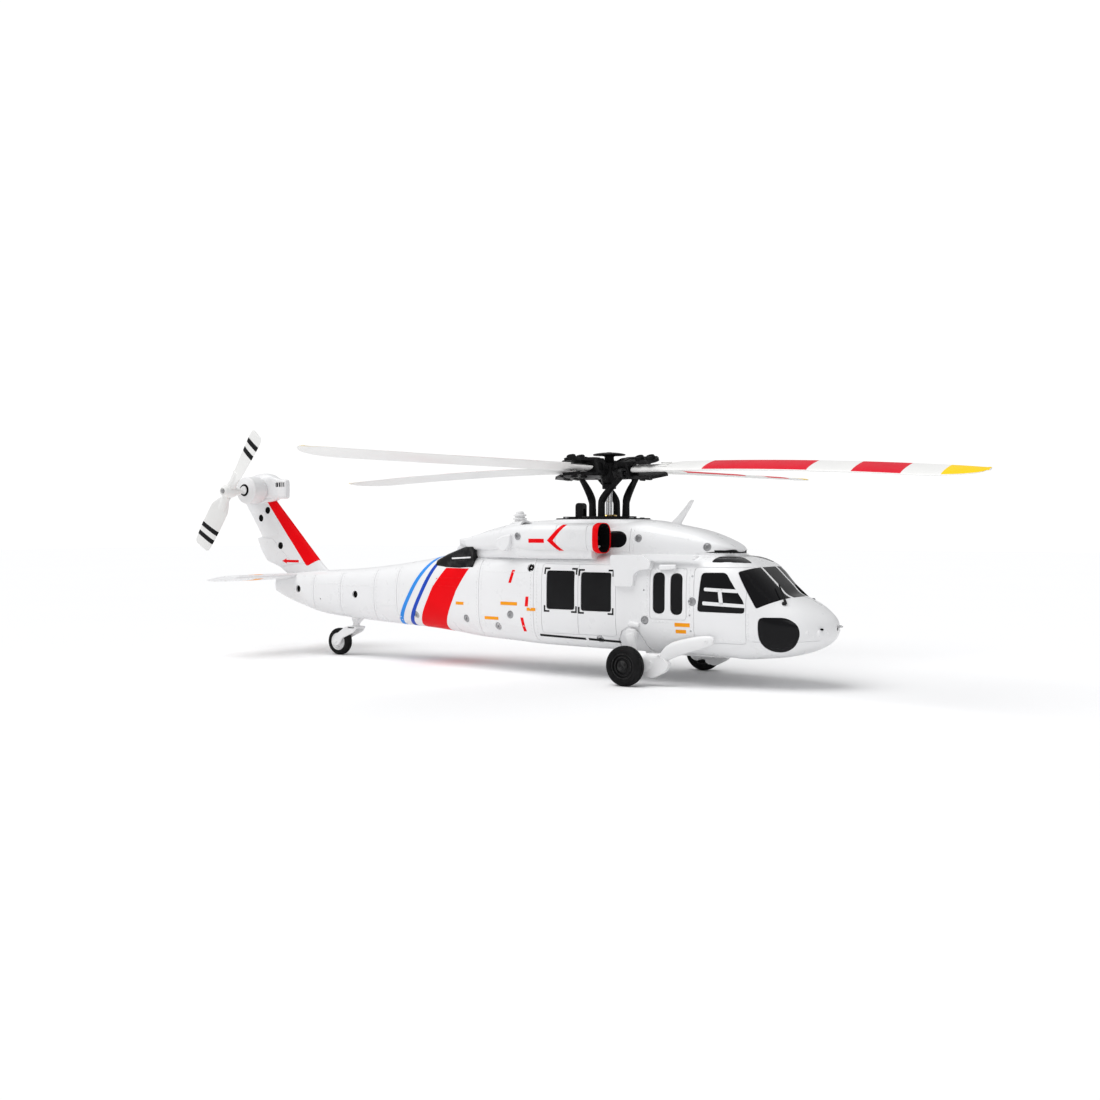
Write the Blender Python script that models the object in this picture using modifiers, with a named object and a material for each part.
"""Radio-controlled scale model of a twin-engined transport helicopter with four main blades.

The nose points to +X, port is +Y and up is +Z. The frame's origin is on the ground under the
middle of the model's outline; the rotor axis stands ROTOR_X ahead of it. Sizes are in millimetres
and are turned into Blender's metres where a mesh is made. Places are measured from the rotor axis
at ground level. The right side is starboard, -Y.
"""

import math

import bmesh
import bpy
from mathutils import Matrix, Vector

MM = 0.001
GAP = 0.3

# ---- Driving dimensions -------------------------------------------------------------------------
SCALE = 47.0
ROTOR_RADIUS = 16360 / 2 / SCALE
ROTOR_X = 32.5
ROTOR_Z = 91.3
DECK_Z = 69.0
SHELL = 1.2
CENTRE_GAP = 0.15

BLADE_NAMES = ("nose", "port", "tail", "starboard")
FIRST_BLADE_AZIMUTH = -9.0
REST_PITCH = {"nose": -22.0, "port": -6.0, "tail": -11.0, "starboard": -12.0}
BLADE_DROOP = {"nose": 8.0, "port": 0.0, "tail": 2.4, "starboard": 0.0}
CHORD = 11.6
HORN_RADIUS = 13.0
HORN_LEVER = 6.9
SWASH_TRAVEL = 3.0

TAIL_ROTOR_RADIUS = 35.5
TAIL_ROTOR_AT = (-214.0, -25.5, 84.0)
TAIL_BLADE_ANGLE = 55.0

MAIN_WHEEL_RADIUS = 8.35
MAIN_WHEEL_AT = (29.0, 36.0)
TAIL_WHEEL_RADIUS = 6.85
TAIL_WHEEL_X = -160.5
TAIL_SWIVEL_X = -149.5

GEAR_MODULE = 0.65
GEAR_TEETH = 40
PINION_TEETH = 10
MOTOR_X = GEAR_MODULE * (GEAR_TEETH + PINION_TEETH) / 2 + 0.12
GEAR_Z = 28.0
GEAR_WIDTH = 3.0

SERVO_ARM = 8.8
SERVO_Z = 46.0
SWASH_Z = 63.0
ROD_RADIUS = 9.5

MATERIALS = {
    "white_plastic": ((0.86, 0.86, 0.87), 0.42, 0.0),
    "black_plastic": ((0.02, 0.02, 0.022), 0.5, 0.0),
    "black_gloss": ((0.012, 0.012, 0.014), 0.12, 0.0),
    "red_plastic": ((0.78, 0.02, 0.04), 0.35, 0.0),
    "blade_plastic": ((0.85, 0.85, 0.85), 0.38, 0.0),
    "rubber": ((0.018, 0.018, 0.018), 0.7, 0.0),
    "steel": ((0.62, 0.62, 0.64), 0.25, 1.0),
    "brass": ((0.83, 0.6, 0.2), 0.25, 1.0),
    "battery_wrap": ((0.05, 0.08, 0.3), 0.4, 0.0),
    "board": ((0.02, 0.2, 0.07), 0.5, 0.0),
}

# Fuselage stations: x, bottom z, top z, half width, z of the widest point, and how square the
# section is above and below that point (2 is an ellipse).
STATIONS = (
    (107.0, 23.0, 26.4, 1.2, 24.6, 2.2, 2.2),
    (105.4, 20.2, 28.9, 6.0, 24.6, 2.2, 2.2),
    (102.0, 17.4, 31.7, 11.2, 24.6, 2.3, 2.3),
    (97.0, 15.0, 34.8, 16.0, 24.8, 2.4, 2.5),
    (92.0, 13.4, 37.0, 19.0, 25.2, 2.5, 2.7),
    (88.3, 12.6, 38.4, 20.8, 25.6, 2.6, 2.9),
    (84.5, 12.1, 42.1, 22.1, 26.0, 2.7, 3.0),
    (80.7, 11.7, 45.7, 23.0, 27.0, 3.0, 3.2),
    (77.0, 11.4, 49.1, 23.7, 28.5, 3.5, 3.4),
    (73.0, 11.1, 51.5, 24.3, 30.0, 4.0, 3.6),
    (66.0, 11.5, 53.3, 24.9, 31.0, 4.6, 3.8),
    (50.0, 12.0, 54.0, 25.2, 32.0, 5.0, 4.0),
    (10.0, 12.2, 54.0, 25.2, 32.0, 5.0, 4.0),
    (-22.0, 12.6, 54.0, 25.0, 32.0, 5.0, 4.0),
    (-42.0, 13.4, 54.0, 23.8, 32.0, 4.2, 3.7),
    (-62.0, 14.2, 54.0, 21.2, 32.0, 3.5, 3.4),
    (-80.0, 15.8, 53.0, 17.8, 32.5, 3.1, 3.1),
    (-98.0, 17.0, 50.2, 14.9, 32.5, 2.9, 2.9),
    (-121.0, 17.9, 47.0, 12.0, 32.0, 2.8, 2.8),
    (-146.0, 19.2, 44.5, 9.8, 32.0, 2.7, 2.7),
    (-168.0, 21.0, 43.2, 8.0, 32.5, 2.6, 2.6),
    (-184.0, 24.6, 42.2, 6.2, 34.0, 2.5, 2.5),
    (-197.0, 28.4, 40.6, 4.2, 35.0, 2.4, 2.4),
    (-205.0, 31.4, 38.0, 1.6, 35.2, 2.2, 2.2),
)

# The upper cowling over gearbox and engines: x, z of its top, half width at its foot.
COWLING = (
    (64.5, 55.4, 5.0),
    (62.6, 58.2, 8.5),
    (57.0, 61.2, 11.5),
    (48.0, 64.0, 13.2),
    (36.0, 66.4, 14.0),
    (21.0, 68.6, 14.4),
    (-28.0, 68.6, 14.4),
    (-45.0, 67.6, 13.4),
    (-58.0, 65.6, 11.5),
    (-72.0, 62.0, 8.5),
    (-82.0, 58.2, 4.5),
)


# ---- Scene and materials ------------------------------------------------------------------------
def clear_scene():
    for obj in list(bpy.data.objects):
        bpy.data.objects.remove(obj)


def new_collection(name):
    collection = bpy.data.collections.new(name)
    bpy.context.scene.collection.children.link(collection)
    return collection


def make_materials():
    for name, (colour, roughness, metallic) in MATERIALS.items():
        material = bpy.data.materials.new(name)
        material.use_nodes = True
        material.diffuse_color = (*colour, 1)
        shader = material.node_tree.nodes["Principled BSDF"]
        shader.inputs["Base Color"].default_value = (*colour, 1)
        shader.inputs["Roughness"].default_value = roughness
        shader.inputs["Metallic"].default_value = metallic


def new_empty(name, at, parent=None):
    empty = bpy.data.objects.new(name, None)
    empty.location = Vector(at) * MM
    empty.parent = parent
    MODEL.objects.link(empty)
    return empty


# ---- Making objects -----------------------------------------------------------------------------
def finish(name, bm, material, at=(0, 0, 0), parent=None, turn=(0, 0, 0), sharp=35):
    """Makes an object of a mesh in millimetres. A material of None makes a hidden helper."""
    bmesh.ops.recalc_face_normals(bm, faces=bm.faces)
    bmesh.ops.scale(bm, vec=(MM, MM, MM), verts=bm.verts)
    mesh = bpy.data.meshes.new(name)
    bm.to_mesh(mesh)
    bm.free()
    obj = bpy.data.objects.new(name, mesh)
    obj.location = Vector(at) * MM
    obj.rotation_euler = [math.radians(angle) for angle in turn]
    obj.parent = parent or AIRFRAME
    if material:
        mesh.materials.append(bpy.data.materials[material])
        mesh.shade_smooth()
        mesh.set_sharp_from_angle(angle=math.radians(sharp))
        MODEL.objects.link(obj)
    else:
        obj.hide_render = True
        obj.display_type = "WIRE"
        HELPERS.objects.link(obj)
    return obj


def combine(obj, operation, *helpers):
    for helper in helpers:
        modifier = obj.modifiers.new(operation.lower(), "BOOLEAN")
        modifier.operation = operation
        modifier.object = helper
    return obj


def add_box(bm, low, high):
    centre = (Vector(low) + Vector(high)) / 2
    size = [b - a for a, b in zip(low, high)]
    made = bmesh.ops.create_cube(bm, size=1)
    bmesh.ops.scale(bm, vec=size, verts=made["verts"])
    bmesh.ops.translate(bm, vec=centre, verts=made["verts"])


def add_rod(bm, start, end, radius, end_radius=None, sides=12):
    """A cylinder or cone between two points."""
    start, end = Vector(start), Vector(end)
    along = end - start
    made = bmesh.ops.create_cone(
        bm, cap_ends=True, segments=sides, radius1=radius,
        radius2=radius if end_radius is None else end_radius, depth=along.length,
    )
    turn = Vector((0, 0, 1)).rotation_difference(along).to_matrix().to_4x4()
    bmesh.ops.transform(bm, matrix=Matrix.Translation((start + end) / 2) @ turn, verts=made["verts"])


def box(name, low, high, material=None, **place):
    bm = bmesh.new()
    add_box(bm, low, high)
    return finish(name, bm, material, **place)


def rod(name, start, end, radius, material=None, end_radius=None, sides=12, **place):
    bm = bmesh.new()
    add_rod(bm, start, end, radius, end_radius, sides)
    return finish(name, bm, material, **place)


def turned(name, profile, material=None, steps=24, **place):
    """Turns a profile of (radius, z) round Z with a Screw modifier."""
    area = sum(a[0] * b[1] - b[0] * a[1] for a, b in zip(profile, profile[1:] + profile[:1]))
    if area > 0:
        profile = profile[::-1]
    bm = bmesh.new()
    verts = [bm.verts.new((radius, 0, z)) for radius, z in profile]
    touches_axis = sum(radius == 0 for radius, _ in profile) == 2
    if touches_axis:
        first = next(i for i, (radius, _) in enumerate(profile)
                     if radius == 0 and profile[i - 1][0] == 0)
        verts = verts[first:] + verts[:first]
    pairs = list(zip(verts, verts[1:]))
    if not touches_axis:
        pairs.append((verts[-1], verts[0]))
    for pair in pairs:
        bm.edges.new(pair)
    obj = finish(name, bm, material, **place)
    screw = obj.modifiers.new("turn", "SCREW")
    screw.steps = screw.render_steps = steps
    screw.use_merge_vertices = True
    screw.merge_threshold = 1e-6
    screw.use_smooth_shade = True
    return obj


def add_prism(bm, outline, low, high, axis="Y"):
    """A flat outline carried from low to high along an axis."""
    def point(a, b, height):
        return {"X": (height, a, b), "Y": (a, height, b), "Z": (a, b, height)}[axis]

    rings = [[bm.verts.new(point(a, b, height)) for a, b in outline] for height in (low, high)]
    bm.faces.new(rings[0])
    bm.faces.new(rings[1])
    count = len(outline)
    for i in range(count):
        j = (i + 1) % count
        bm.faces.new((rings[0][i], rings[0][j], rings[1][j], rings[1][i]))


def prism(name, outline, low, high, material=None, axis="Y", **place):
    bm = bmesh.new()
    add_prism(bm, outline, low, high, axis)
    return finish(name, bm, material, **place)


def rounded(outline, radius, steps=3):
    """The outline with each corner cut to an arc of about the given radius."""
    points = [Vector(point) for point in outline]
    made = []
    for before, corner, after in zip(points[-1:] + points[:-1], points, points[1:] + points[:1]):
        cut = min(radius, (before - corner).length * 0.45, (after - corner).length * 0.45)
        start = corner + (before - corner).normalized() * cut
        end = corner + (after - corner).normalized() * cut
        for i in range(steps + 1):
            t = i / steps
            made.append(tuple((1 - t) ** 2 * start + 2 * t * (1 - t) * corner + t * t * end))
    return made


def grown(outline, by):
    """The outline with each straight side moved outwards by a distance."""
    points = [Vector(point) for point in outline]
    area = sum(a.cross(b) for a, b in zip(points, points[1:] + points[:1]))
    side = 1 if area > 0 else -1
    made = []
    for before, corner, after in zip(points[-1:] + points[:-1], points, points[1:] + points[:1]):
        a = (corner - before).normalized()
        b = (after - corner).normalized()
        normal_a = Vector((a.y, -a.x)) * side
        normal_b = Vector((b.y, -b.x)) * side
        across = (normal_a + normal_b).normalized()
        made.append(tuple(corner + across * by / max(0.3, across.dot(normal_a))))
    return made


def add_loft(bm, rings):
    """Closed rings of equal count joined end to end, with both ends filled."""
    rows = [[bm.verts.new(point) for point in ring] for ring in rings]
    count = len(rows[0])
    for a, b in zip(rows, rows[1:]):
        for i in range(count):
            j = (i + 1) % count
            bm.faces.new((a[i], a[j], b[j], b[i]))
    bm.faces.new(rows[0])
    bm.faces.new(rows[-1][::-1])


def loft(name, rings, material=None, **place):
    bm = bmesh.new()
    add_loft(bm, rings)
    return finish(name, bm, material, **place)


def open_shell(name, outer, inner, material=None, **place):
    """A shell between two open surfaces, each a row of open lines, closed round its rim."""
    bm = bmesh.new()
    outside = [[bm.verts.new(point) for point in line] for line in outer]
    inside = [[bm.verts.new(point) for point in line] for line in inner]
    for rows in (outside, inside):
        for a, b in zip(rows, rows[1:]):
            for i in range(len(a) - 1):
                bm.faces.new((a[i], a[i + 1], b[i + 1], b[i]))
        bm.faces.new(rows[0])
        bm.faces.new(rows[-1])
    for i in range(len(outside) - 1):
        for edge in (0, -1):
            bm.faces.new((outside[i][edge], outside[i + 1][edge],
                          inside[i + 1][edge], inside[i][edge]))
    for end in (0, -1):
        bm.faces.new((outside[end][0], outside[end][-1], inside[end][-1], inside[end][0]))
    return finish(name, bm, material, **place)


# ---- Fuselage -----------------------------------------------------------------------------------
def section(station, angles, inset=0.0, keel=0.0):
    """Points round one station. Angle 0 is the bottom, 90 starboard, 180 the top, 270 port."""
    x, bottom, top, half_width, widest, square_up, square_down = station
    ends = STATIONS[0][0], STATIONS[-1][0]
    middle = sum(ends) / 2
    x = middle + (x - middle) * (1 - 2 * inset / (ends[0] - ends[1]))
    width = max(half_width - inset, 0.35 * half_width)
    up = max(top - widest - inset, 0.35 * (top - widest))
    down = max(widest - bottom - inset, 0.35 * (widest - bottom))
    points = []
    for angle in angles:
        sine, cosine = math.sin(math.radians(angle)), math.cos(math.radians(angle))
        square = square_down if cosine > 0 else square_up
        across = math.copysign(abs(sine) ** (2 / square) if abs(sine) > 1e-6 else 0.0, sine)
        rise = abs(cosine) ** (2 / square) if abs(cosine) > 1e-6 else 0.0
        y = -math.copysign(keel + (width - keel) * abs(across), sine if abs(sine) > 1e-6 else
                           math.sin(math.radians(angles[len(angles) // 2])))
        z = widest - down * rise if cosine > 0 else widest + up * rise
        points.append((x, y, z))
    return points


def fuselage_half(name, side, material=None):
    start = 0 if side == "right" else 180
    angles = [start + 18 * i for i in range(11)]
    outer = [section(station, angles, 0, CENTRE_GAP) for station in STATIONS]
    inner = [section(station, angles, SHELL, CENTRE_GAP) for station in STATIONS]
    return open_shell(name, outer, inner, material)


COCKPIT_WINDOW = ((56.4, 31.1), (76.2, 31.0), (76.0, 35.4), (68.6, 47.2), (58.2, 47.0))
CHIN_WINDOW = ((81.0, 29.6), (93.0, 29.4), (97.0, 25.8), (96.6, 19.6), (90.5, 15.3), (84.8, 16.2),
               (81.0, 20.6))
CABIN_WINDOWS = ((-16.8, -2.9, 29.8, 46.4), (1.2, 15.4, 29.7, 46.0))
SLOT_WINDOWS = ((36.2, 41.4, 29.6, 46.8), (44.4, 49.6, 29.4, 46.6))
WINDSHIELD = ((72.8, 47.4), (81.5, 33.0), (88.9, 37.6), (97.4, 45.2), (86.0, 58.0), (77.2, 49.2))
HATCH = (24.0, 64.0, 10.5)


def side_panes():
    """Outlines of the cabin's window panes, in x and z."""
    for x0, x1, z0, z1 in CABIN_WINDOWS:
        yield ((x0, z0), (x1, z0), (x1, z1), (x0, z1)), 1.2
    for x0, x1, z0, z1 in SLOT_WINDOWS:
        yield ((x0, z0), (x1, z0), (x1, z1), (x0, z1)), 2.0


def window_cutter(name, sign):
    """Everything that is cut out of one side of the fuselage."""
    bm = bmesh.new()
    near, far = sign * 8.0, sign * 30.0
    add_prism(bm, rounded(COCKPIT_WINDOW, 1.6), near, far)
    add_prism(bm, rounded(CHIN_WINDOW, 2.0, 2), near, far)
    for outline, radius in side_panes():
        add_prism(bm, rounded(outline, radius), near, far)
    return finish(name, bm, None)


def make_fuselage():
    windshield_cutter = prism("windshield_cutter", rounded(WINDSHIELD, 0.6, 1), -40, 40)
    x0, x1, half = HATCH
    hatch_cutter = box("hatch_cutter", (x0, -half, 5), (x1, half, 18))
    roof_cutter = box("roof_cutter", (-19, -12.5, 46), (14, 12.5, 62))
    tail_cutter = stabilator("stabilator_cutter", None, GAP)
    post_cutter = rod("tail_post_cutter", (TAIL_SWIVEL_X, 0, 10), (TAIL_SWIVEL_X, 0, 26), 2.6)
    for side, sign in (("right", -1), ("left", 1)):
        half_shell = fuselage_half("fuselage_" + side, side, "white_plastic")
        combine(half_shell, "UNION", door_rail(side, sign))
        combine(half_shell, "DIFFERENCE", window_cutter("window_cutter_" + side, sign),
                windshield_cutter, hatch_cutter, roof_cutter, tail_cutter, post_cutter)
        make_windows(side, sign)
    windshield_angles = [60 + 15 * i for i in range(17)]
    pane = open_shell(
        "windshield", [section(station, windshield_angles) for station in STATIONS[:12]],
        [section(station, windshield_angles, SHELL) for station in STATIONS[:12]], "black_gloss",
    )
    keep = prism("windshield_keep", rounded(grown(WINDSHIELD, -GAP), 0.6, 1), -40, 40)
    combine(pane, "INTERSECT", keep)
    box("battery_hatch", (x0 + GAP, -half + GAP, 11.3), (x1 - GAP, half - GAP, 13.0),
        "white_plastic")


def make_windows(side, sign):
    for name, outline, radius, steps in (("cockpit_window", COCKPIT_WINDOW, 1.6, 3),
                                         ("chin_window", CHIN_WINDOW, 2.0, 2)):
        pane = fuselage_half(f"{name}_{side}", side, "black_gloss")
        keep = prism(f"{name}_keep_{side}", rounded(grown(outline, -GAP), radius, steps),
                     sign * 8.0, sign * 30.0)
        combine(pane, "INTERSECT", keep)
    # One black insert stands behind the cabin's side, and its raised panes fill the openings.
    y0, y1 = sorted((sign * 22.5, sign * 23.3))
    glazing = box(f"side_glazing_{side}", (-18.5, y0, 27.5), (51.5, y1, 43.5), "black_gloss")
    for i, (outline, radius) in enumerate(side_panes()):
        pad = prism(f"pane_{side}_{i}", rounded(grown(outline, -GAP), radius, 2),
                    sign * 22.8, sign * 24.7)
        combine(glazing, "UNION", pad)


def cowling_line(station, inset):
    """One arch of the upper cowling, from starboard foot to port foot."""
    x, top, half_width = station
    foot = 54.4
    width, height = half_width - inset, top - foot - inset
    shift = inset if x < 0 else -inset
    square = 3.4
    points = []
    for i in range(13):
        angle = math.pi * i / 12
        cosine, sine = math.cos(angle), math.sin(angle)
        y = -width * math.copysign(abs(cosine) ** (2 / square), cosine)
        if abs(cosine) < 1e-6:
            y = 0.0
        points.append((x + shift, y, foot + height * abs(sine) ** (2 / square)))
    points[0] = (x + shift, -width, foot)
    points[-1] = (x + shift, width, foot)
    return points


def make_cowling():
    thickness = 1.0
    cowling = open_shell("upper_cowling", [cowling_line(station, 0) for station in COWLING],
                         [cowling_line(station, thickness if 0 < i < len(COWLING) - 1 else 0.7)
                          for i, station in enumerate(COWLING)], "white_plastic")
    opening = rod("swash_opening", (0, 0, 50), (0, 0, 80), 11.2, sides=28)
    slot = box("guide_opening", (-16.8, -2.6, 50), (-5, 2.6, 80))
    combine(cowling, "DIFFERENCE", opening, slot)
    deck_plate(opening, slot)


def deck_plate(opening, slot):
    """Black oval cover round the swashplate, with the guide post that keeps it from turning."""
    middle, half_length, half_width = -3.4, 23.4, 12.4
    outline = [
        (middle + half_length * math.cos(math.tau * i / 32),
         half_width * math.sin(math.tau * i / 32)) for i in range(32)
    ]
    plate = prism("deck_plate", outline, DECK_Z, DECK_Z + 0.8, "black_plastic", axis="Z")
    combine(plate, "DIFFERENCE", opening, slot)
    post = box("guide_post", (-16.3, -2.1, 58.0), (-12.9, 2.1, 76.0))
    groove = box("guide_groove", (-17.5, -1.1, 57.0), (-12.0, 1.1, 73.5))
    combine(post, "DIFFERENCE", groove)
    ear = box("guide_ear", (-20.0, -3.4, DECK_Z + 0.1), (-15.4, 3.4, DECK_Z + 1.6))
    ear_groove = box("guide_ear_groove", (-16.0, -1.1, DECK_Z - 1), (-14.0, 1.1, 72))
    combine(ear, "DIFFERENCE", ear_groove)
    combine(plate, "UNION", ear, post)


def rounded_ring(x, y, z, half_y, half_z, square=3.2, count=12):
    """A closed section across X."""
    points = []
    for i in range(count):
        angle = math.tau * i / count
        cosine, sine = math.cos(angle), math.sin(angle)
        points.append((x, y + half_y * math.copysign(abs(cosine) ** (2 / square), cosine),
                       z + half_z * math.copysign(abs(sine) ** (2 / square), sine)))
    return points


ENGINES = (
    # x, y of the middle, z of the middle, half width, half height
    (7.6, 20.8, 60.8, 5.6, 5.8),
    (4.0, 20.8, 60.8, 6.0, 6.3),
    (-20.0, 20.8, 60.8, 6.0, 6.3),
    (-34.0, 20.0, 60.6, 5.2, 5.9),
    (-46.0, 18.6, 59.8, 4.4, 4.9),
    (-58.0, 17.0, 58.8, 3.6, 3.7),
    (-66.0, 15.6, 58.2, 2.6, 2.5),
)


def make_engines():
    for side, sign in (("right", -1), ("left", 1)):
        rings = [rounded_ring(x, sign * y, z, half_y, half_z)
                 for x, y, z, half_y, half_z in ENGINES]
        cowl = loft(f"engine_cowl_{side}", rings, "white_plastic")
        bore = rod(f"intake_bore_{side}", (-2, sign * 20.8, 60.8), (12, sign * 20.8, 60.8), 3.9,
                   sides=16)
        combine(cowl, "DIFFERENCE", bore)
        turned(f"intake_ring_{side}",
               [(4.0, 0.0), (5.6, 0.0), (6.2, 1.2), (6.0, 2.8), (5.2, 3.4), (4.3, 2.8), (3.9, 1.2)],
               "red_plastic", steps=20, at=(8.0, sign * 20.8, 60.8), turn=(0, 90, 0))


def door_rail(side, sign):
    """Raised fairing over the cabin door, moulded with the fuselage half."""
    outline = rounded(((15.4, 40.6), (27.4, 40.6), (29.6, 46.4), (36.0, 47.4), (37.0, 51.6),
                       (52.0, 52.0), (56.0, 53.6), (15.4, 53.6)), 1.2, 2)
    return prism(f"door_rail_{side}", outline, *sorted((sign * 24.3, sign * 27.6)))


# ---- Tail ---------------------------------------------------------------------------------------
def wing_ring(place, leading, trailing, thickness, count=10):
    """A closed wing section; place(along, across) gives the point. Along runs 0 to 1."""
    points = []
    for i in range(count):
        angle = math.tau * (i + 0.5) / count
        along = 0.5 - 0.5 * math.cos(angle)
        across = 0.5 * thickness * math.sin(angle) * (1.25 - 0.6 * along)
        points.append(place(leading + (trailing - leading) * along, across))
    return points


def stabilator(name, material, growth=0.0):
    rings = []
    drop = math.tan(math.radians(5.0))
    for y in (-46.0, -44.5, -15.0, 15.0, 44.5, 46.0):
        pinch = 1.6 if abs(y) > 45 else 0.0

        def place(x, across, y=y):
            return (x, y, 41.2 - (-187.0 - x) * drop + across)

        thickness = (2.8 if abs(y) > 20 else 3.0) + 2 * growth
        rings.append(wing_ring(place, -187.0 - pinch + growth, -210.0 + pinch - growth,
                               thickness - pinch * 0.6))
    return loft(name, rings, material)


FIN_LEVELS = ((44.4, -200.0, 4.6), (47.5, -212.4, 5.4), (53.0, -217.4, 5.2), (57.6, -219.2, 5.0),
              (60.3, -215.8, 5.0), (70.0, -222.6, 4.6), (79.6, -229.6, 4.0))


def fin_leading(z):
    return -170.9 - (z - 44.9) * 1.0057


def make_fin():
    rings = []
    for z, trailing, thickness in FIN_LEVELS:
        def place(x, across, z=z):
            return (x, across, z)

        rings.append(wing_ring(place, fin_leading(z), trailing, thickness))
    fin = loft("tail_fin", rings, "white_plastic")
    combine(fin, "DIFFERENCE", stabilator("fin_slot_cutter", None, GAP))
    pod_rings = [rounded_ring(x, 0.0, z, half_y, half_z, 2.4, 12) for x, z, half_y, half_z in (
        (-228.0, 86.0, 1.6, 2.6), (-225.0, 86.2, 4.0, 5.2), (-214.0, 86.8, 5.0, 6.9),
        (-207.0, 86.4, 4.2, 6.2), (-203.5, 85.6, 2.3, 5.2), (-197.5, 85.3, 1.9, 5.1))]
    loft("tail_pod", pod_rings, "white_plastic")
    x, _, z = TAIL_ROTOR_AT
    turned("tail_motor", [(0.0, -2.0), (6.6, -2.0), (7.1, -1.2), (7.1, 5.4), (6.4, 6.4),
                          (2.6, 6.8), (2.2, 8.2), (0.0, 8.2)], "white_plastic", steps=20,
           at=(x, -7.6, z + 0.8), turn=(90, 0, 0))


def tail_blade_rings():
    """The tail blade along +Z, turning in the XZ plane, with a twist that falls to the tip."""
    rings = []
    for radius, chord, twist, thickness in ((5.0, 5.0, 30, 2.2), (9.0, 8.4, 26, 1.8),
                                            (14.0, 10.0, 20, 1.5), (26.0, 10.2, 13, 1.2),
                                            (34.0, 9.6, 9, 1.0), (TAIL_ROTOR_RADIUS, 8.2, 8, 0.7)):
        angle = -math.radians(twist)

        def place(along, across, radius=radius, angle=angle):
            return (along * math.cos(angle) - across * math.sin(angle),
                    along * math.sin(angle) + across * math.cos(angle), radius)

        rings.append(wing_ring(place, -0.45 * chord, 0.55 * chord, thickness, 8))
    return rings


def make_tail_rotor():
    spin = new_empty("tail_rotor_axis", TAIL_ROTOR_AT, AIRFRAME)
    spin.rotation_euler = (0, math.radians(90.0 - TAIL_BLADE_ANGLE), 0)
    hub_profile = [(0.0, -9.0), (0.8, -9.0), (0.8, -3.4), (3.0, -3.4), (4.6, -1.6), (4.6, 2.0),
                   (3.2, 3.8), (0.0, 4.4)]
    hub = turned("tail_rotor", hub_profile, "blade_plastic", steps=16, parent=spin,
                 turn=(90, 0, 0))
    roots = rod("tail_blade_roots", (0, 0, -9.5), (0, 0, 9.5), 1.7, parent=spin, sides=10)
    blades = [loft(f"tail_blade_{i}", tail_blade_rings(), None, parent=spin,
                   turn=(0, 180 * i, 0)) for i in (0, 1)]
    combine(hub, "UNION", roots, *blades)


# ---- Main rotor ---------------------------------------------------------------------------------
def make_mast():
    turned("mast", [(0.0, 22.0), (1.45, 22.0), (1.45, ROTOR_Z - 6.6), (0.0, ROTOR_Z - 6.6)],
           "steel", steps=16)


def make_rotor_head():
    """Hub with four spindles under a mushroom cap."""
    head = turned("rotor_head",
                  [(0.0, ROTOR_Z - 6.3), (3.4, ROTOR_Z - 6.3), (4.2, ROTOR_Z - 3.4),
                   (4.2, ROTOR_Z + 2.6), (2.2, ROTOR_Z + 3.6), (2.1, ROTOR_Z + 5.6),
                   (7.2, ROTOR_Z + 6.0), (7.4, ROTOR_Z + 6.4), (5.0, ROTOR_Z + 7.0),
                   (0.0, ROTOR_Z + 7.4)], "black_plastic", steps=24)
    spindles = []
    for i in range(4):
        angle = math.radians(FIRST_BLADE_AZIMUTH + 90 * i)
        tip = (9.0 * math.cos(angle), 9.0 * math.sin(angle), ROTOR_Z)
        spindles.append(rod(f"spindle_{i}", (0, 0, ROTOR_Z), tip, 1.3, sides=10))
    combine(head, "UNION", *spindles)


def blade_root(name, azimuth):
    """An empty on the feathering axis, pitched as the blade rests. Outwards is its +X."""
    turn = Matrix.Rotation(math.radians(azimuth), 4, "Z") @ Matrix.Rotation(
        math.radians(-REST_PITCH[name]), 4, "X")
    empty = new_empty(f"feather_{name}", (0, 0, ROTOR_Z), AIRFRAME)
    empty.rotation_euler = turn.to_euler()
    return empty


def make_blade(name, root):
    """The leading edge is at -Y, and curves back into the trailing edge at the tip."""
    rings = []
    droop, pitch = BLADE_DROOP[name], math.radians(REST_PITCH[name])
    for radius, width, lead, twist, thickness in (
            (14.6, 6.4, 0.5, 0, 3.0), (27.0, 6.8, 0.5, 0, 3.0), (36.0, CHORD, 0.38, 0, 2.0),
            (90.0, CHORD, 0.36, 0.5, 1.6), (150.0, CHORD, 0.36, 1, 1.3),
            (163.0, 10.2, 0.28, 1, 1.2), (170.0, 6.8, 0.0, 1, 1.0),
            (ROTOR_RADIUS, 2.4, -1.8, 1, 0.7)):
        angle = math.radians(twist)
        leading, trailing = -lead * width, width * (1 - lead)
        fall = droop * ((radius - 14.6) / (ROTOR_RADIUS - 14.6)) ** 2

        def place(along, across, radius=radius, angle=angle, fall=fall):
            return (radius,
                    along * math.cos(angle) - across * math.sin(angle) + fall * math.sin(pitch),
                    along * math.sin(angle) + across * math.cos(angle) - fall * math.cos(pitch))

        rings.append(wing_ring(place, leading, trailing, thickness, 10))
    loft(f"blade_{name}", rings, "blade_plastic", parent=root)


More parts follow.
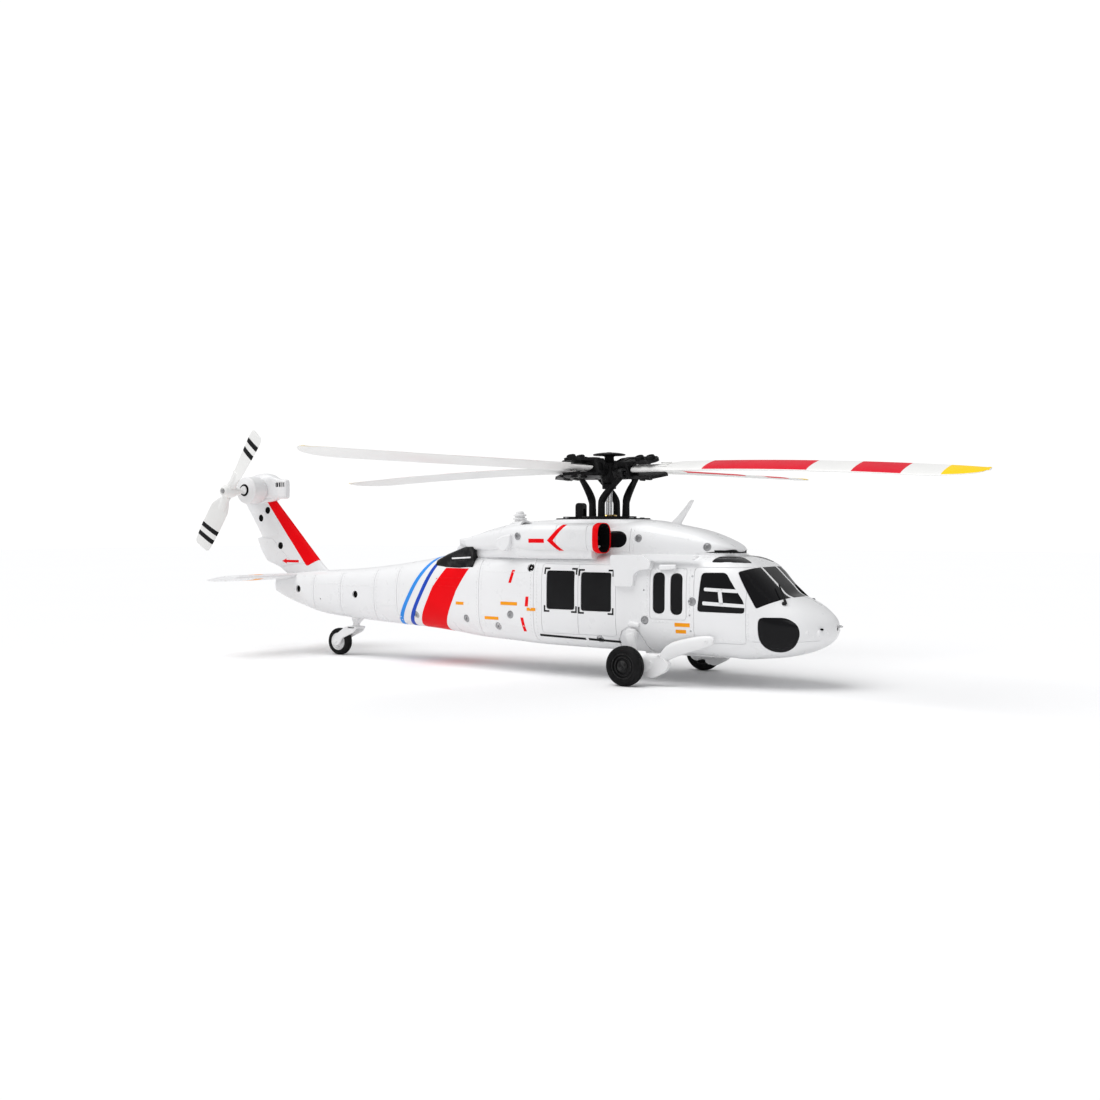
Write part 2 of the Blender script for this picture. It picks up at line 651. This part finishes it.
def make_grip(name, root):
    """Two black plates clamp the blade's root; a horn ahead of it carries the link's pin."""
    outline = ((9.4, -3.3), (13.5, -3.4), (20.0, -2.8), (24.5, -3.2), (31.0, -1.1), (31.0, 1.1),
               (24.5, 3.2), (20.0, 2.8), (13.5, 3.4), (9.4, 3.3))
    grip = prism(f"grip_{name}", outline, 2.7, 4.2, "black_plastic", axis="Z", parent=root)
    lower = prism(f"grip_lower_{name}", outline, -3.8, -2.5, None, axis="Z", parent=root)
    block = box(f"grip_block_{name}", (5.6, -3.4, -3.6), (13.6, 3.4, 3.9), None, parent=root)
    bore = rod(f"grip_bore_{name}", (4.0, 0, 0), (9.6, 0, 0), 1.65, sides=12, parent=root)
    horn = prism(f"horn_{name}", ((8.0, -3.0), (8.0, -HORN_LEVER - 1.2), (10.4, -HORN_LEVER - 1.2),
                                  (10.8, -3.0)), -1.2, 1.2, None, axis="Z", parent=root)
    pin = rod(f"horn_pin_{name}", (9.6, -HORN_LEVER, 0), (14.6, -HORN_LEVER, 0), 0.7, sides=8,
              parent=root)
    combine(grip, "UNION", block, lower, horn, pin)
    combine(grip, "DIFFERENCE", bore)
    for i, radius in enumerate((18.5, 24.5)):
        screw = rod(f"grip_screw_{name}_{i}", (radius, 0, 4.0), (radius, 0, 5.8), 1.7, sides=10,
                    parent=root)
        combine(grip, "UNION", screw)


def curve_mesh(name, points, radius, parent):
    """A bent round bar through the points, as a mesh with welded ends."""
    curve = bpy.data.curves.new(name, "CURVE")
    curve.dimensions = "3D"
    curve.bevel_depth = radius * MM
    curve.bevel_resolution = 2
    curve.use_fill_caps = True
    spline = curve.splines.new("POLY")
    spline.points.add(len(points) - 1)
    for point, place in zip(spline.points, points):
        point.co = (*(Vector(place) * MM), 1)
    bent = bpy.data.objects.new(name, curve)
    bent.parent = parent
    HELPERS.objects.link(bent)
    bpy.context.view_layer.update()
    evaluated = bent.evaluated_get(bpy.context.evaluated_depsgraph_get())
    mesh = bpy.data.meshes.new_from_object(evaluated)
    bm = bmesh.new()
    bm.from_mesh(mesh)
    bmesh.ops.remove_doubles(bm, verts=bm.verts, dist=1e-6)
    bmesh.ops.scale(bm, vec=(1 / MM,) * 3, verts=bm.verts)
    bpy.data.objects.remove(bent)
    return bm


def link_path(start, knee, end, steps=4):
    """Straight up to the knee, then a smooth sweep out to the horn."""
    start, knee, end = Vector(start), Vector(knee), Vector(end)
    reach = end - knee
    handle = Vector((knee.x, knee.y, knee.z + 0.3 * reach.z))
    points = [start, start.lerp(knee, 0.5)]
    for i in range(steps + 1):
        t = i / steps
        points.append((1 - t) ** 2 * knee + 2 * t * (1 - t) * handle + t * t * end)
    return points


def make_link(name, azimuth):
    """Curved pitch link from the turning swashplate to the grip's horn."""
    turn = new_empty(f"link_place_{name}", (0, 0, 0), AIRFRAME)
    turn.rotation_euler = (0, 0, math.radians(azimuth))
    pitch = math.radians(REST_PITCH[name])
    travel = SWASH_TRAVEL / HORN_LEVER
    low, high = HORN_LEVER * math.cos(pitch), HORN_LEVER * math.cos(pitch + travel)
    eye = Vector((HORN_RADIUS, -(low + high) / 2, ROTOR_Z + HORN_LEVER * math.sin(pitch)))
    base = Vector((2.03, -7.84, SWASH_Z + 4.1))
    knee = Vector((2.2, -7.9, 75.8))
    bm = curve_mesh(f"link_bar_{name}", link_path(base, knee, eye + Vector((-1.0, -0.1, -2.1))),
                    1.25, turn)
    link = finish(f"pitch_link_{name}", bm, "black_plastic", parent=turn)
    ring = rod(f"link_eye_{name}", eye - Vector((1.1, 0, 0)), eye + Vector((1.1, 0, 0)), 2.3,
               sides=16, parent=turn)
    hole = rod(f"link_hole_{name}", eye - Vector((2.0, 0, 0)), eye + Vector((2.0, 0, 0)), 1.35,
               sides=16, parent=turn)
    combine(link, "UNION", ring)
    combine(link, "DIFFERENCE", hole)


def make_swashplates():
    z = SWASH_Z
    turned("swash_upper", [(4.6, z + 1.0), (9.6, z + 1.0), (9.9, z + 1.5), (9.9, z + 3.2),
                           (9.4, z + 3.7), (5.6, z + 3.7), (4.6, z + 2.6)], "black_plastic",
           steps=28)
    lower = turned("swash_lower", [(4.6, z - 2.2), (9.2, z - 2.2), (9.6, z - 1.7), (9.6, z + 0.2),
                                   (9.2, z + 0.6), (4.6, z + 0.6)], "black_plastic", steps=28)
    pin = rod("swash_pin", (-9.0, 0, z - 0.6), (-15.6, 0, z - 0.6), 0.7, sides=8)
    combine(lower, "UNION", pin, *(control_rod(name) for name in ROD_AZIMUTHS))
    turned("swash_ball", [(1.6, z - 3.0), (3.4, z - 3.0), (4.2, z - 1.0), (4.2, z + 2.6),
                          (3.0, z + 5.4), (2.6, DECK_Z + 1.4), (1.6, DECK_Z + 1.4)], "brass",
           steps=20)


# ---- Drive and controls -------------------------------------------------------------------------
def gear_outline(teeth, phase):
    """Straight-flanked teeth round a wheel."""
    pitch_radius = GEAR_MODULE * teeth / 2
    points = []
    for i in range(teeth):
        middle = math.tau * i / teeth + phase
        step = math.tau / teeth
        for radius, share in ((pitch_radius - 0.8, -0.33), (pitch_radius + 0.5, -0.11),
                              (pitch_radius + 0.5, 0.11), (pitch_radius - 0.8, 0.33)):
            points.append((radius * math.cos(middle + share * step),
                           radius * math.sin(middle + share * step)))
    return points


def make_drive():
    gear = prism("main_gear", gear_outline(GEAR_TEETH, 0), GEAR_Z, GEAR_Z + GEAR_WIDTH,
                 "black_plastic", axis="Z")
    bore = rod("gear_bore", (0, 0, GEAR_Z - 1), (0, 0, GEAR_Z + 8), 1.75, sides=16)
    boss = rod("gear_boss", (0, 0, GEAR_Z + 2), (0, 0, GEAR_Z + 5.5), 3.2, sides=16)
    combine(gear, "UNION", boss)
    combine(gear, "DIFFERENCE", bore)
    tooth_gap = math.pi / PINION_TEETH + math.pi
    pinion = prism("pinion", gear_outline(PINION_TEETH, tooth_gap), GEAR_Z - 0.4,
                   GEAR_Z + GEAR_WIDTH + 0.6, "brass", axis="Z", at=(MOTOR_X, 0, 0))
    shaft = rod("pinion_shaft", (0, 0, GEAR_Z), (0, 0, 40), 0.8, sides=10, at=(MOTOR_X, 0, 0))
    combine(pinion, "UNION", shaft)
    turned("main_motor", [(1.2, 38.4), (6.6, 38.4), (7.2, 39.2), (7.2, 49.6), (6.2, 50.4),
                          (0.0, 50.4), (0.0, 41.0), (1.2, 41.0)], "steel", steps=20,
           at=(MOTOR_X, 0, 0))


ROD_AZIMUTHS = {"rear": 180.0, "front_left": 60.0, "front_right": -60.0}


def rod_place(name):
    angle = math.radians(ROD_AZIMUTHS[name])
    return ROD_RADIUS * math.cos(angle), ROD_RADIUS * math.sin(angle)


def servo_side(name):
    """The y of the servo's inner face, and the way out from it along Y."""
    y = rod_place(name)[1]
    return (y - 0.9, -1) if name == "rear" else (math.copysign(abs(y) + 0.9, y), math.copysign(1, y))


def control_rod(name):
    """Steel rod from beside a servo arm's tip up to the lower swashplate."""
    x, y = rod_place(name)
    inner, away = servo_side(name)
    beside = inner - away * 2.6
    low = SERVO_Z - SWASH_TRAVEL / 2
    bm = curve_mesh(f"rod_wire_{name}", [(x, beside, low), (x, beside, low + 7.0),
                                         (x, y, low + 9.0), (x, y, SWASH_Z - 1.0)], 0.55, AIRFRAME)
    return finish(f"control_rod_{name}", bm, None)


def make_chassis():
    """Three plates on four posts hold the mast, the motor and the servos."""
    plates = bmesh.new()
    add_box(plates, (-32, -15, 23.0), (30, 15, 25.0))
    chassis = finish("chassis", plates, "black_plastic")
    middle = box("chassis_middle", (-32, -15, 36.0), (30, 15, 38.0))
    upper = box("chassis_upper", (-32, -13, 50.9), (30, 13, 52.1))
    window = box("chassis_window", (-23, -8.5, 48), (-6.6, 8.5, 60))
    combine(upper, "DIFFERENCE", window)
    combine(chassis, "UNION", middle, upper)
    for i, (x, y) in enumerate(((-30, -11), (-30, 11), (28, -11), (28, 11))):
        combine(chassis, "UNION", box(f"chassis_post_{i}", (x - 2, y - 2, 24), (x + 2, y + 2, 51.5)))
    combine(chassis, "DIFFERENCE",
            rod("mast_bore", (0, 0, 20), (0, 0, 60), 1.55, sides=16),
            rod("motor_bore", (MOTOR_X, 0, 34), (MOTOR_X, 0, 40), 2.0, sides=16))
    for name in ("front_left", "front_right"):
        x, y = rod_place(name)
        combine(chassis, "DIFFERENCE",
                rod(f"rod_hole_{name}", (x, y, 50), (x, y, 60), 2.4, sides=12))


def make_servos():
    for name in ROD_AZIMUTHS:
        x, y = rod_place(name)
        rear = name == "rear"
        toward = -1 if rear else 1
        inner, away = servo_side(name)
        axis_x = x + toward * SERVO_ARM
        low_y, high_y = sorted((inner + away * GAP, inner + away * (6.0 if not rear else 7.2)))
        x0, x1 = sorted((axis_x - toward * 4.0, axis_x + toward * 9.6))
        servo = box(f"servo_{name}", (x0, low_y, 38.4), (x1, high_y, 50.6), "black_plastic")
        shaft = rod(f"servo_shaft_{name}", (axis_x, inner + away * 1.0, SERVO_Z),
                    (axis_x, inner - away * 0.7, SERVO_Z), 0.9, sides=10)
        combine(servo, "UNION", shaft)
        make_servo_arm(name, axis_x, inner, away, toward)


def make_servo_arm(name, axis_x, inner, away, toward):
    """The arm turns about Y on the servo's shaft; its rod goes straight up to the swashplate."""
    rest = math.degrees(math.asin(SWASH_TRAVEL / 2 / SERVO_ARM))
    low, high = sorted((0.0, -away * 1.4))
    outline = rounded(((2.2, 1.9), (-SERVO_ARM - 1.8, 1.4), (-SERVO_ARM - 1.8, -1.4),
                       (2.2, -1.9)), 1.0, 2)
    outline = [(a * toward, b) for a, b in outline]
    arm = prism(f"servo_arm_{name}", outline, low, high, "white_plastic",
                at=(axis_x, inner, SERVO_Z), turn=(0, -toward * rest, 0))
    hole = rod(f"arm_bore_{name}", (axis_x, inner - 3, SERVO_Z), (axis_x, inner + 3, SERVO_Z),
               1.25, sides=12)
    combine(arm, "DIFFERENCE", hole)


def make_electronics():
    x0, x1, half = HATCH
    box("battery", (x0 + 1.5, -half + 1.5, 13.6), (x1 - 1.5, half - 1.5, 21.6), "battery_wrap")
    box("flight_controller", (36.0, -13.0, 36.0), (62.0, 13.0, 39.0), "board")


# ---- Undercarriage ------------------------------------------------------------------------------
def wheel_profile(radius, half_width, bore):
    rim = radius * 0.52
    return [(bore, -half_width * 0.7), (rim - 1.0, -half_width * 0.7), (rim, -half_width * 0.9),
            (radius * 0.8, -half_width), (radius * 0.96, -half_width * 0.72),
            (radius, -half_width * 0.3), (radius, half_width * 0.3),
            (radius * 0.96, half_width * 0.72), (radius * 0.8, half_width),
            (rim, half_width * 0.9), (rim - 1.0, half_width * 0.7), (bore, half_width * 0.7)]


def make_main_gear_side(side, sign):
    x, y = MAIN_WHEEL_AT
    z = MAIN_WHEEL_RADIUS
    turned(f"main_wheel_{side}", wheel_profile(MAIN_WHEEL_RADIUS, 2.6, 1.4), "rubber", steps=24,
           at=(x, sign * y, z), turn=(90, 0, 0))
    bm = bmesh.new()
    beam = [(x + 1.0, 29.5, 8.6, 1.7, 2.6), (37.0, 28.5, 9.6, 2.4, 3.8), (43.0, 27.6, 12.4, 2.2, 3.6),
            (52.0, 26.8, 16.4, 1.8, 2.8), (60.0, 26.6, 18.8, 1.6, 2.6), (65.0, 26.9, 19.8, 1.0, 1.6)]
    add_loft(bm, [rounded_ring(px, sign * py, pz, hy, hz, 2.6, 10) for px, py, pz, hy, hz in beam])
    drag = finish(f"drag_beam_{side}", bm, "white_plastic")
    hub = rod(f"axle_boss_{side}", (x, sign * 27.8, z), (x, sign * 33.0, z), 3.2, sides=14)
    axle = rod(f"axle_pin_{side}", (x, sign * 30, z), (x, sign * 38.6, z), 1.2, sides=12)
    cap = rod(f"axle_cap_{side}", (x, sign * (y + 2.0), z), (x, sign * (y + 2.9), z), 2.3, sides=12)
    combine(drag, "UNION", hub, axle, cap)
    strut = rod(f"shock_strut_{side}", (28.8, sign * 28.2, 13.2), (26.8, sign * 27.4, 21.0), 1.9,
                "white_plastic", end_radius=2.2, sides=14)
    foot = rod(f"strut_foot_{side}", (26.8, sign * 25.5, 20.6), (26.8, sign * 28.4, 20.6), 2.5,
               sides=14)
    combine(strut, "UNION", foot)


def make_tail_gear():
    x, z = TAIL_WHEEL_X, TAIL_WHEEL_RADIUS
    strut = rod("tail_strut", (TAIL_SWIVEL_X, 0, 15.4), (TAIL_SWIVEL_X, 0, 21.6), 2.2,
                "white_plastic", sides=14)
    socket = rod("tail_socket", (TAIL_SWIVEL_X, 0, 14.0), (TAIL_SWIVEL_X, 0, 19.0), 1.15, sides=12)
    combine(strut, "DIFFERENCE", socket)
    swivel = new_empty("tail_swivel", (TAIL_SWIVEL_X, 0, 0), AIRFRAME)
    trail = x - TAIL_SWIVEL_X
    fork = box("tail_fork", (-3.6, -3.9, 12.9), (3.0, 3.9, 15.0), "white_plastic", parent=swivel)
    pin = rod("fork_pin", (0, 0, 14.0), (0, 0, 18.2), 0.85, sides=10, parent=swivel)
    combine(fork, "UNION", pin)
    for sign in (-1, 1):
        low, high = sorted((sign * 2.7, sign * 3.9))
        arm = prism(f"fork_arm_{sign}", ((2.6, 14.8), (-4.0, 14.8), (trail - 1.2, z + 2.6),
                                         (trail - 2.4, z - 1.0), (trail + 0.4, z - 2.6),
                                         (trail + 2.6, z - 1.0), (1.6, 12.4)),
                    low, high, None, parent=swivel)
        combine(fork, "UNION", arm)
    axle = rod("tail_axle", (trail, -3.4, z), (trail, 3.4, z), 0.9, sides=10, parent=swivel)
    combine(fork, "UNION", axle)
    turned("tail_wheel", wheel_profile(TAIL_WHEEL_RADIUS, 2.2, 1.2), "rubber", steps=20,
           at=(trail, 0, z), turn=(90, 0, 0), parent=swivel)


def make_model():
    make_fuselage()
    make_cowling()
    make_engines()
    make_fin()
    stabilator("stabilator", "white_plastic")
    make_tail_rotor()
    make_mast()
    make_rotor_head()
    for i, name in enumerate(BLADE_NAMES):
        azimuth = FIRST_BLADE_AZIMUTH + 90 * i
        root = blade_root(name, azimuth)
        make_blade(name, root)
        make_grip(name, root)
        make_link(name, azimuth)
    make_swashplates()
    make_drive()
    make_chassis()
    make_servos()
    make_electronics()
    for side, sign in (("right", -1), ("left", 1)):
        make_main_gear_side(side, sign)
    make_tail_gear()


clear_scene()
MODEL = new_collection("scale_helicopter")
HELPERS = new_collection("cutters")
make_materials()
AIRFRAME = new_empty("airframe", (ROTOR_X, 0, 0))
make_model()
